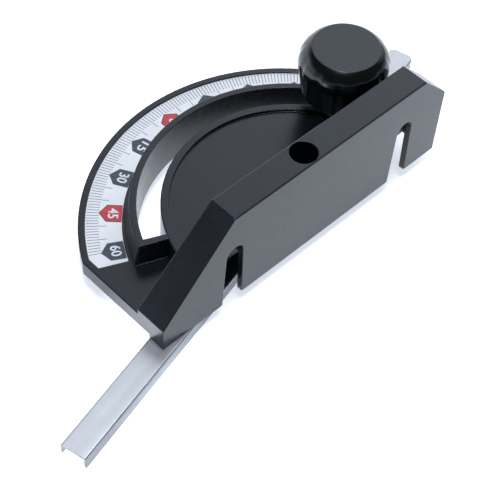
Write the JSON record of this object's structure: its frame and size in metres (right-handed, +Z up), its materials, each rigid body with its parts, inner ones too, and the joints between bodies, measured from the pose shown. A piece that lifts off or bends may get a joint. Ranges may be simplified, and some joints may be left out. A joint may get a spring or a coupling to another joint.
{
  "type": "mitre gauge",
  "caption": "Table-saw mitre gauge: moulded head with a notched fence and an arc scale, a channel bar under it, and a fluted knob that clamps the bar through the arc slot.",
  "frame": {"origin": "axis of the bore in the fence's top, which is the centre of the scale, at the level of the head's underside", "axes": "+Z up along the bore; +X along the fence, to the right seen from its working face; the working face looks to -Y and the scale is on +Y"},
  "size_m": [0.3287, 0.1473, 0.0779],
  "materials": {
    "black_moulding": "satin black moulded plastic",
    "printed_label": "printed vinyl label, cool white with dark ticks, slate and red markers",
    "plated_sheet": "folded sheet steel, pale satin zinc plate",
    "plated_steel": "zinc plated steel",
    "gloss_moulding": "glossy black moulded plastic",
    "insert_brass": "turned brass"
  },
  "bodies": {
    "head": {"head_body": "black_moulding", "scale_label": "printed_label"},
    "slot_carriage": {"flat_washer": "plated_steel"},
    "bar": {"bar": "plated_sheet", "clamp_bolt": "plated_steel"},
    "knob_lift": {"spring_washer": "plated_steel"},
    "knob": {"knob_body": "gloss_moulding", "knob_insert": "insert_brass"}
  },
  "joints": [
    {"name": "slot_travel", "type": "hinge", "parent": "head", "child": "slot_carriage", "pos_m": [0, 0, 0.0266], "axis": [0, 0, 1], "range_deg": [0, 124.6]},
    {"name": "bar_turn", "type": "hinge", "parent": "slot_carriage", "child": "bar", "pos_m": [0.06903, 0.03578, 0], "axis": [0, 0, 1], "range_deg": [-90, 90]},
    {"name": "knob_rise", "type": "slide", "parent": "bar", "child": "knob_lift", "axis": [0, 0, 1], "range_m": [0, 0.00376]},
    {"name": "knob_spin", "type": "hinge", "parent": "knob_lift", "child": "knob", "pos_m": [0.06903, 0.03578, 0.05], "axis": [0, 0, 1], "range_deg": [0, 1080]}
  ],
  "couplings": [
    {"joint": "knob_rise", "follows": "knob_spin", "m_per_rad": 0.00019894}
  ]
}
